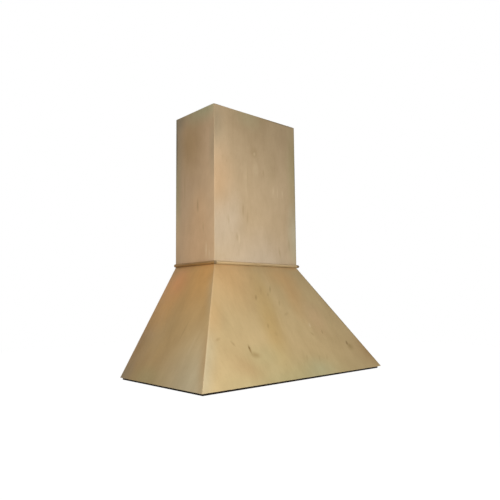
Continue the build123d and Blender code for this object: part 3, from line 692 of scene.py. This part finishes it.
def birch_plywood(name, corner, across, grain, out, plies, thickness, leaf):
    """Bare birch plywood: its wavy figure on the faces and its plies on the cut edges."""
    finish = Finish(name, roughness=0.6)
    depth, flat, place = plywood_coordinates(finish, corner, across, grain, out, leaf)
    wave = finish.noise(place, (9, 3, 1), detail=2)
    u = finish.along(flat, x_axis)
    year = finish.math("ADD", finish.math("MULTIPLY", u, 25.0), finish.math("MULTIPLY", wave, 14.0))
    figure = finish.fit(finish.math("PINGPONG", year, 0.5), 0.1, 0.5)
    fibre = finish.noise(place, (600, 25, 1), detail=2)
    face = finish.mix(figure, tone(214, 184, 140), tone(228, 204, 164))
    face = finish.mix(finish.fit(fibre, 0.4, 0.6, 0.0, 0.25), face, tone(182, 142, 96))
    edge = cut_edge(finish, depth, plies, thickness, wave)
    turned_out = finish.math("ABSOLUTE", finish.along(finish.facing, out))
    finish.colour(finish.mix(finish.fit(turned_out, 0.9, 0.97), edge, face))
    finish.bump(fibre, 0.00012)
    return finish.material


# %% The plywood of the cleats, the neck and the tongues
cleat_low, cleat_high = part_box("hood_cleat")
neck_low, neck_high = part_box("neck_front")
cleat_thickness = cleat_high.y - cleat_low.y
cleat_plies = 13
cleat_birch = birch_plywood(
    "birch_cleat", Vector((0, cleat_low.y, 0)), up, x_axis, -y_axis, cleat_plies, cleat_thickness, 1.4
)
neck_birch_x = birch_plywood(
    "birch_neck_front", Vector((0, neck_low.y, 0)), up, x_axis, -y_axis, board_plies, board, 2.6
)
neck_birch_y = birch_plywood(
    "birch_neck_side", Vector((neck_high.x, 0, 0)), up, y_axis, x_axis, board_plies, board, 4.2
)

tongue_thickness = 0.004
tongue_plies = 3
tongue_birch = {}
for side, name in ((-1, "left"), (1, "right")):
    across_mitre = Vector((side, 1, 0)).normalized()
    for corner, lean in (("chimney", 0.0), ("hip", side_lean)):
        node = f"{corner}_tongue_{name}"
        low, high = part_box(node)
        out = Vector((side, -1, 2 * lean)).normalized()
        outer_face = (low + high) / 2 + out * tongue_thickness / 2
        tongue_birch[node] = birch_plywood(
            "birch_" + node, outer_face, across_mitre, up, out, tongue_plies, tongue_thickness, 5.5
        )
print("tongues in the mitres:", ", ".join(tongue_birch))

# %% [markdown]
# ## Metal
# The liner is sheet steel with a black powder coat: a slightly pebbled, half-glossy skin.
# Screws are zinc-plated where only the joiner sees them and blackened where the cook does.

# %% Metal finishes


def powder_coat(name):
    """A black coat, pebbled close up and a little dusty."""
    finish = Finish(name, roughness=0.45, gloss=0.1)
    pebble = finish.noise(finish.place, (900, 900, 900), detail=2)
    dust = finish.noise(finish.place, (9, 9, 9), detail=4, roughness=0.65)
    finish.colour(finish.mix(dust, tone(22, 17, 13), tone(36, 29, 22)))
    finish.roughness(finish.fit(dust, 0.3, 0.7, 0.38, 0.55))
    finish.bump(pebble, 0.0001)
    return finish.material


def plated(name, low, high, roughness, wear_roughness):
    """Metal whose colour and shine drift between two tones and two roughnesses."""
    finish = Finish(name, roughness, metallic=1.0)
    cloud = finish.noise(finish.place, (420, 420, 420), detail=3)
    finish.colour(finish.mix(cloud, low, high))
    finish.roughness(finish.fit(cloud, 0.3, 0.7, roughness, wear_roughness))
    return finish.material


black_coat = powder_coat("black_powder_coat")
zinc = plated("zinc_plate", tone(176, 172, 156), tone(206, 204, 194), 0.28, 0.42)
black_oxide = plated("black_oxide", tone(44, 43, 42), tone(66, 64, 62), 0.38, 0.5)
aluminium = plated("mill_aluminium", tone(190, 192, 194), tone(216, 218, 220), 0.3, 0.45)
for metal in (black_coat, zinc, black_oxide, aluminium):
    print("metal:", metal.name)

# %% [markdown]
# ## Boards with eased edges
# A imported node is a bag of loose triangles with knife edges. Real boards have their edges
# eased with sandpaper, and that thin rounded edge is what catches the light at each
# corner. So each wooden piece is worked from a copy of its node: doubled points are
# merged, flat triangles are dissolved into whole faces, and a narrow bevel goes along
# every sharp edge. The copy then stands for its node.

# %% Helpers to work one piece at a time


def only(piece):
    """Selects one piece and nothing else, because an operator acts on all that is selected."""
    bpy.ops.object.select_all(action="DESELECT")
    piece.select_set(True)
    bpy.context.view_layer.objects.active = piece


def bench_copy(node, name):
    """A copy of a CAD node with its loose triangles joined into whole faces."""
    same_point = 1e-5
    same_plane = radians(0.6)
    piece = bpy.data.objects.new(name, cad_nodes[node].data.copy())
    bpy.context.scene.collection.objects.link(piece)
    only(piece)
    bpy.ops.mesh.customdata_custom_splitnormals_clear()
    bpy.ops.object.mode_set(mode="EDIT")
    bpy.ops.mesh.select_all(action="SELECT")
    bpy.ops.mesh.remove_doubles(threshold=same_point)
    bpy.ops.mesh.dissolve_limited(angle_limit=same_plane)
    bpy.ops.mesh.select_all(action="DESELECT")
    bpy.ops.object.mode_set(mode="OBJECT")
    return piece


def smooth(piece, angle):
    """Shades a piece smooth over the edges that turn by less than an angle in degrees."""
    only(piece)
    bpy.ops.object.shade_smooth_by_angle(angle=radians(angle))


def ease(piece, width, segments=2):
    """Rounds every sharp edge of a piece, by a width in metres, and shades it smooth."""
    sharp = 25
    only(piece)
    bevel = piece.modifiers.new("eased_edges", "BEVEL")
    bevel.width = width
    bevel.segments = segments
    bevel.limit_method = "ANGLE"
    bevel.angle_limit = radians(sharp)
    bevel.use_clamp_overlap = True
    bpy.ops.object.modifier_apply(modifier=bevel.name)
    smooth(piece, sharp)


def put_in_place(piece, node, finish):
    """The piece takes over from its node: its body and its look."""
    piece.data.materials.clear()
    piece.data.materials.append(finish)
    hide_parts(node)
    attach(piece, cad_body[node])


# %% Which wood each piece is made of
wood_finish = dict(veneers)
for node in ("wall_cleat", "hood_cleat"):
    wood_finish[node] = cleat_birch
for node in ("neck_front", "neck_back"):
    wood_finish[node] = neck_birch_x
for node in ("neck_left", "neck_right"):
    wood_finish[node] = neck_birch_y
runs_across = ("insert_rail_front", "insert_rail_back", "chimney_rail_", "chimney_stretcher")
for node in cad_nodes:
    if node.startswith(("base_rail_", "top_rail_")):
        runs_back = node.endswith(("left", "right"))
        wood_finish[node] = pine_along_y if runs_back else pine_along_x
    elif node.startswith(runs_across):
        wood_finish[node] = pine_along_x
    elif "_tongue_" in node:
        wood_finish[node] = tongue_birch[node]
    elif "_block_" in node:
        wood_finish[node] = pine_upright
    elif node == "bead_front":
        wood_finish[node] = maple_along_x
    elif node.startswith("bead_"):
        wood_finish[node] = maple_painted_shade_along_y
print(len(wood_finish), "wooden pieces")

# %% Every wooden piece, eased
eased_by = {"bead": 0.0003, "canopy": 0.0007, "chimney": 0.0007}
eased_elsewhere = 0.0005
for node, finish in wood_finish.items():
    piece = bench_copy(node, node + "_board")
    ease(piece, eased_by.get(node.split("_")[0], eased_elsewhere))
    put_in_place(piece, node, finish)
print(len(wood_finish), "wooden pieces have eased edges")

# %% [markdown]
# ## The steel liner
# Five pieces of folded sheet line the canopy's foot. Sheared sheet is sharp, but its coat
# of powder gathers on each edge and rounds it. A bevel of a quarter of a millimetre is
# enough to give the lip the thin soft line of light that such an edge shows.

# %% Liner
coat_rounding = 0.00025
liner_nodes = [f"liner_{side}" for side in ("back", "front", "left", "right", "top")]
for node in liner_nodes:
    piece = bench_copy(node, node + "_sheet")
    ease(piece, coat_rounding, segments=1)
    put_in_place(piece, node, black_coat)
print(len(liner_nodes), "pieces of sheet steel")

# %% [markdown]
# ## Round pieces, drawn out ring by ring
# Screws, rivets and dowels are round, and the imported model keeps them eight-sided to save
# faces. A turned piece can be made by spinning half of its outline. Drawing a disc out,
# one extrusion and one resize for each ring, gives the same form and shows each step of
# it. Every kind is modelled once, standing at the origin, and copied to each place where
# its node has a solid.

# %% Helpers for round pieces


def draw_out(name, rings, sides=32):
    """A round solid along z. rings are its heights and radii, in millimetres."""
    height, radius = (size / 1000 for size in rings[0])
    bpy.ops.object.select_all(action="DESELECT")
    bpy.ops.mesh.primitive_circle_add(
        vertices=sides, radius=radius, fill_type="NGON", location=(0, 0, height)
    )
    piece = bpy.context.object
    piece.name = name
    bpy.ops.object.transform_apply(location=True, rotation=True, scale=True)
    bpy.ops.object.mode_set(mode="EDIT")
    bpy.ops.mesh.select_all(action="SELECT")
    for ring in rings[1:]:
        next_height, next_radius = (size / 1000 for size in ring)
        rise = (0, 0, next_height - height)
        share = next_radius / radius
        bpy.ops.mesh.extrude_region_move(TRANSFORM_OT_translate={"value": rise})
        bpy.ops.transform.resize(value=(share, share, 1), center_override=(0, 0, next_height))
        height, radius = next_height, next_radius
    bpy.ops.mesh.select_all(action="SELECT")
    bpy.ops.mesh.normals_make_consistent(inside=False)
    bpy.ops.mesh.select_all(action="DESELECT")
    bpy.ops.object.mode_set(mode="OBJECT")
    return piece


def carve(piece, tool, operation="DIFFERENCE"):
    """Cuts the tool out of a piece, or melts it in, and throws the tool away."""
    only(piece)
    cut = piece.modifiers.new("carve", "BOOLEAN")
    cut.operation = operation
    cut.solver = "EXACT"
    cut.object = tool
    bpy.ops.object.modifier_apply(modifier=cut.name)
    bpy.data.objects.remove(tool)


# %% Helpers that copy a piece to its places


def places_of(node):
    """The lowest and the highest corner of each separate solid of a node."""
    bench_copy(node, node + "_bench")
    bpy.ops.object.mode_set(mode="EDIT")
    bpy.ops.mesh.select_all(action="SELECT")
    bpy.ops.mesh.separate(type="LOOSE")
    bpy.ops.object.mode_set(mode="OBJECT")
    parts = list(bpy.context.selected_objects)
    boxes = [(Vector(part.bound_box[0]), Vector(part.bound_box[6])) for part in parts]
    for part in parts:
        bpy.data.objects.remove(part)
    return boxes


def copy_to_places(model, node, finish, stand, shift):
    """One copy of a model for each solid of a node. stand turns the model from +z to its
    own direction, and shift is how far its origin lies from the solid's lower end."""
    boxes = places_of(node)
    for number, (low, high) in enumerate(boxes, start=1):
        start = (low + high) / 2
        along = max(range(3), key=lambda axis: abs((stand @ up)[axis]))
        start[along] = low[along] + shift / 1000
        piece = bpy.data.objects.new(f"{node}_{number}", model.data.copy())
        bpy.context.scene.collection.objects.link(piece)
        piece.data.transform(Matrix.Translation(start) @ stand.to_4x4())
        put_in_place(piece, node, finish)
    print(node, "has", len(boxes), "copies of", model.name)


# %% [markdown]
# ## Wood screws
# A wood screw has a head, a smooth shank and a thread that thins to a point. Two kinds
# are used: a flat head that sinks into the rail and a pan head that bears on the sheet.
# The thread is one small triangle wound up the shank by the Screw modifier, and the cross
# in the head is cut by two tapered bars, as the maker's punch presses it.

# %% Thread


def wind_thread(screw, low, high, core, crest, pitch):
    """Winds one ridge round a screw's core, from low to high, in millimetres."""
    bpy.ops.object.select_all(action="DESELECT")
    bpy.ops.mesh.primitive_circle_add(vertices=3, radius=1, fill_type="NGON")
    ridge = bpy.context.object
    root = core - 0.3
    half_width = pitch * 0.3
    corners = ((crest, 0.0), (root, half_width), (root, -half_width))
    for vertex, (out, rise) in zip(ridge.data.vertices, corners):
        vertex.co = Vector((out, 0, low + rise)) / 1000
    wound = ridge.modifiers.new("wound", "SCREW")
    wound.screw_offset = pitch / 1000
    wound.iterations = round((high - low) / pitch)
    wound.steps = wound.render_steps = 12
    wound.use_merge_vertices = False
    bpy.ops.object.modifier_apply(modifier=wound.name)
    bpy.ops.object.mode_set(mode="EDIT")
    bpy.ops.mesh.select_all(action="SELECT")
    bpy.ops.mesh.remove_doubles(threshold=1e-6)
    bpy.ops.mesh.fill_holes(sides=3)
    bpy.ops.mesh.select_all(action="SELECT")
    bpy.ops.mesh.normals_make_consistent(inside=False)
    bpy.ops.object.mode_set(mode="OBJECT")
    carve(screw, ridge, "UNION")


# %% Cross recess


def cross_recess(screw, top, reach, depth, width=0.9, taper=0.35):
    """Presses a cross into the head's face, which looks down at height top. taper is the
    share of its size that is left at the bottom."""
    for size in ((reach, width), (width, reach)):
        bpy.ops.object.select_all(action="DESELECT")
        bpy.ops.mesh.primitive_cube_add(
            size=0.001, location=(0, 0, top / 1000), scale=(*size, 2 * depth)
        )
        bar = bpy.context.object
        bpy.ops.object.transform_apply(location=True, rotation=True, scale=True)
        bpy.ops.object.mode_set(mode="EDIT")
        bpy.ops.mesh.select_all(action="DESELECT")
        bpy.ops.object.mode_set(mode="OBJECT")
        for face in bar.data.polygons:
            face.select = face.normal.z > 0.5
        bpy.ops.object.mode_set(mode="EDIT")
        deep = (0, 0, (top + depth) / 1000)
        bpy.ops.transform.resize(value=(taper, taper, 1), center_override=deep)
        bpy.ops.object.mode_set(mode="OBJECT")
        carve(screw, bar)


# %% Two kinds of screw, in millimetres
shank, core, crest, pitch, point = 1.95, 1.35, 1.98, 2.0, 0.25
flat_length = 42
flat_screw = draw_out(
    "flat_head_screw",
    (
        (0, 4.0), (0.1, 4.12), (2.4, shank), (14, shank), (14.6, core), (37.5, core),
        (flat_length, point),
    ),
)
wind_thread(flat_screw, 16.5, 38.5, core, crest, pitch)
cross_recess(flat_screw, 0, 4.6, 1.7)

pan_head = 2.4
pan_screw = draw_out(
    "pan_head_screw",
    (
        (-pan_head, 1.9), (-2.28, 2.7), (-1.9, 3.5), (-1.3, 4.0), (-0.7, 4.18), (0, 4.18),
        (0, shank), (1.6, shank), (2.1, core), (11.4, core), (15, point),
    ),
)
wind_thread(pan_screw, 3.4, 11.4, core, crest, pitch)
cross_recess(pan_screw, -pan_head, 4.4, 1.6)

turned_smooth = 35
for screw in (flat_screw, pan_screw):
    smooth(screw, turned_smooth)
    print(screw.name, "has", len(screw.data.polygons), "faces")

# %% Screws in their holes
points_up = Matrix.Identity(3)
points_down = Matrix.Rotation(radians(180), 3, "X")
copy_to_places(flat_screw, "neck_screws", zinc, points_up, 0)
copy_to_places(flat_screw, "hood_cleat_screws", zinc, points_down, flat_length)
copy_to_places(pan_screw, "liner_screws", black_oxide, points_up, pan_head)
copy_to_places(pan_screw, "insert_rail_screws", black_oxide, points_up, pan_head)

# %% [markdown]
# ## Blind rivets
# The rivets join the liner's ledge to its side walls. A blind rivet is set from below: its
# domed flange stays outside with the broken stem in its middle, and the far end swells.

# %% Rivets
rivet = draw_out(
    "blind_rivet",
    (
        (0.15, 0.9), (0, 1.0), (0, 1.35), (0.12, 1.9), (0.4, 2.8), (0.75, 3.18), (0.9, 3.18),
        (0.9, 1.6), (3.3, 1.6), (3.3, 2.6), (3.6, 3.0), (3.95, 2.6), (4.2, 1.3),
    ),
)
smooth(rivet, turned_smooth)
copy_to_places(rivet, "liner_rivets", aluminium, points_up, 0)

# %% [markdown]
# ## Fluted dowels
# A bought dowel has grooves along it, which let the spare glue out of the hole, and its
# ends are chamfered so that they find the hole. The dowel is drawn out plain with three
# points to a groove, and pulling in every third point then makes the grooves.

# %% Dowels


def fluted_dowel(name, radius, length, chamfer=1.2, flutes=16, groove=0.94):
    """A dowel with chamfered ends, in millimetres. groove is the share of the radius that
    is left at the bottom of a groove."""
    end = radius - chamfer * 0.6
    rings = ((0, end), (chamfer, radius), (length - chamfer, radius), (length, end))
    sides = 3 * flutes
    dowel = draw_out(name, rings, sides)
    for vertex in dowel.data.vertices:
        place = round(atan2(vertex.co.y, vertex.co.x) / (2 * pi) * sides)
        if place % 3 == 0:
            vertex.co.x *= groove
            vertex.co.y *= groove
    smooth(dowel, 20)
    return dowel


points_back = Matrix.Rotation(radians(-90), 3, "X")
base_dowel = fluted_dowel("base_dowel", 4.0, 36)
top_dowel = fluted_dowel("top_dowel", 3.0, 24)
copy_to_places(base_dowel, "base_dowels", beech, points_back, 0)
copy_to_places(top_dowel, "top_dowels", beech, points_back, 0)

# %% The models go, their copies stay
models = (flat_screw, pan_screw, rivet, base_dowel, top_dowel)
for model in models:
    bpy.data.objects.remove(model)
print(len(models), "models are put away")

# %% [markdown]
# ## The floor and the light
# The photograph shows the cover on plain white. A hood hangs about 1.7 m above the
# kitchen floor, so the pale floor lies that far below it and only catches a faint shadow.
# A glow that only the camera sees keeps it pale without more light on the wood.

# %% Floor
floor_drop = 1.65
floor_glow = 0.82
floor_z = cad_box[0].z - floor_drop
bpy.ops.mesh.primitive_plane_add(size=40, location=(0, 0, floor_z))
floor = bpy.context.object
floor.name = "pale_floor"

floor_paint = bpy.data.materials.new("pale_floor_paint")
floor_paint.use_nodes = True
tree = floor_paint.node_tree
tree.nodes.clear()
output = tree.nodes.new("ShaderNodeOutputMaterial")
diffuse = tree.nodes.new("ShaderNodeBsdfDiffuse")
diffuse.inputs["Color"].default_value = (0.8, 0.8, 0.8, 1)
glow = tree.nodes.new("ShaderNodeEmission")
glow.inputs["Strength"].default_value = floor_glow
light_path = tree.nodes.new("ShaderNodeLightPath")
seen = tree.nodes.new("ShaderNodeMixShader")
both = tree.nodes.new("ShaderNodeAddShader")
for source, target in (
    (diffuse.outputs[0], both.inputs[0]),
    (glow.outputs[0], both.inputs[1]),
    (light_path.outputs["Is Camera Ray"], seen.inputs[0]),
    (diffuse.outputs[0], seen.inputs[1]),
    (both.outputs[0], seen.inputs[2]),
    (seen.outputs[0], output.inputs[0]),
):
    tree.links.new(source, target)
floor.data.materials.append(floor_paint)
print("the floor lies", floor_drop, "m under the cover")

# %% [markdown]
# To the wood the world is a soft even sky. To the camera, and in gloss and glass, it is
# pure white at a strength of 1.

# %% World
sky_strength = 0.24
world = bpy.data.worlds.new("soft_sky")
bpy.context.scene.world = world
world.use_nodes = True
tree = world.node_tree
sky = tree.nodes["Background"]
white = tree.nodes.new("ShaderNodeBackground")
for background, strength in ((sky, sky_strength), (white, 1.0)):
    background.inputs["Color"].default_value = (1.0, 1.0, 1.0, 1)
    background.inputs["Strength"].default_value = strength
light_path = tree.nodes.new("ShaderNodeLightPath")
camera_or_gloss = tree.nodes.new("ShaderNodeMath")
camera_or_gloss.operation = "MAXIMUM"
or_glass = tree.nodes.new("ShaderNodeMath")
or_glass.operation = "MAXIMUM"
choice = tree.nodes.new("ShaderNodeMixShader")
for source, target in (
    (light_path.outputs["Is Camera Ray"], camera_or_gloss.inputs[0]),
    (light_path.outputs["Is Glossy Ray"], camera_or_gloss.inputs[1]),
    (camera_or_gloss.outputs[0], or_glass.inputs[0]),
    (light_path.outputs["Is Transmission Ray"], or_glass.inputs[1]),
    (or_glass.outputs[0], choice.inputs[0]),
    (sky.outputs[0], choice.inputs[1]),
    (white.outputs[0], choice.inputs[2]),
    (choice.outputs[0], tree.nodes["World Output"].inputs[0]),
):
    tree.links.new(source, target)
print("the sky lights the cover at a strength of", sky_strength)

# %% [markdown]
# ## The lamps
# Six soft lamps light the cover from all round, as a room with large windows would. The
# front lamp is the strongest on the two faces in view, and the left lamp is weak, so the
# left side is darker than the front, as in the photograph.

# %% Lamps


def soft_lamp(name, place, target, size, power):
    """A square soft lamp that shines on a point. power is in watts."""
    data = bpy.data.lights.new(name, "AREA")
    data.size = size
    data.energy = power
    lamp = bpy.data.objects.new(name, data)
    bpy.context.scene.collection.objects.link(lamp)
    place, target = Vector(place), Vector(target)
    turned = (target - place).to_track_quat("-Z", "Y").to_matrix().to_4x4()
    lamp.matrix_world = Matrix.Translation(place) @ turned
    print(name, "shines with", power, "W")


soft_lamp("front_lamp", (-0.9, -2.3, -0.1), (-0.1, -0.3, 0.1), 0.8, 28)
soft_lamp("near_lamp", (-0.9, -1.5, 0.1), (-0.1, -0.3, 0.1), 0.6, 5)
soft_lamp("left_lamp", (-1.3, -0.4, 0.35), (-0.2, -0.2, 0.1), 0.5, 2.4)
soft_lamp("right_lamp", (2.6, 0.3, 0.3), (0.2, -0.2, 0.1), 1.2, 30)
soft_lamp("back_lamp", (-0.3, 2.8, 0.6), (0, 0, 0.1), 1.2, 45)
soft_lamp("under_lamp", (0.1, -0.22, -1.6), (0, -0.24, 0), 0.8, 12)
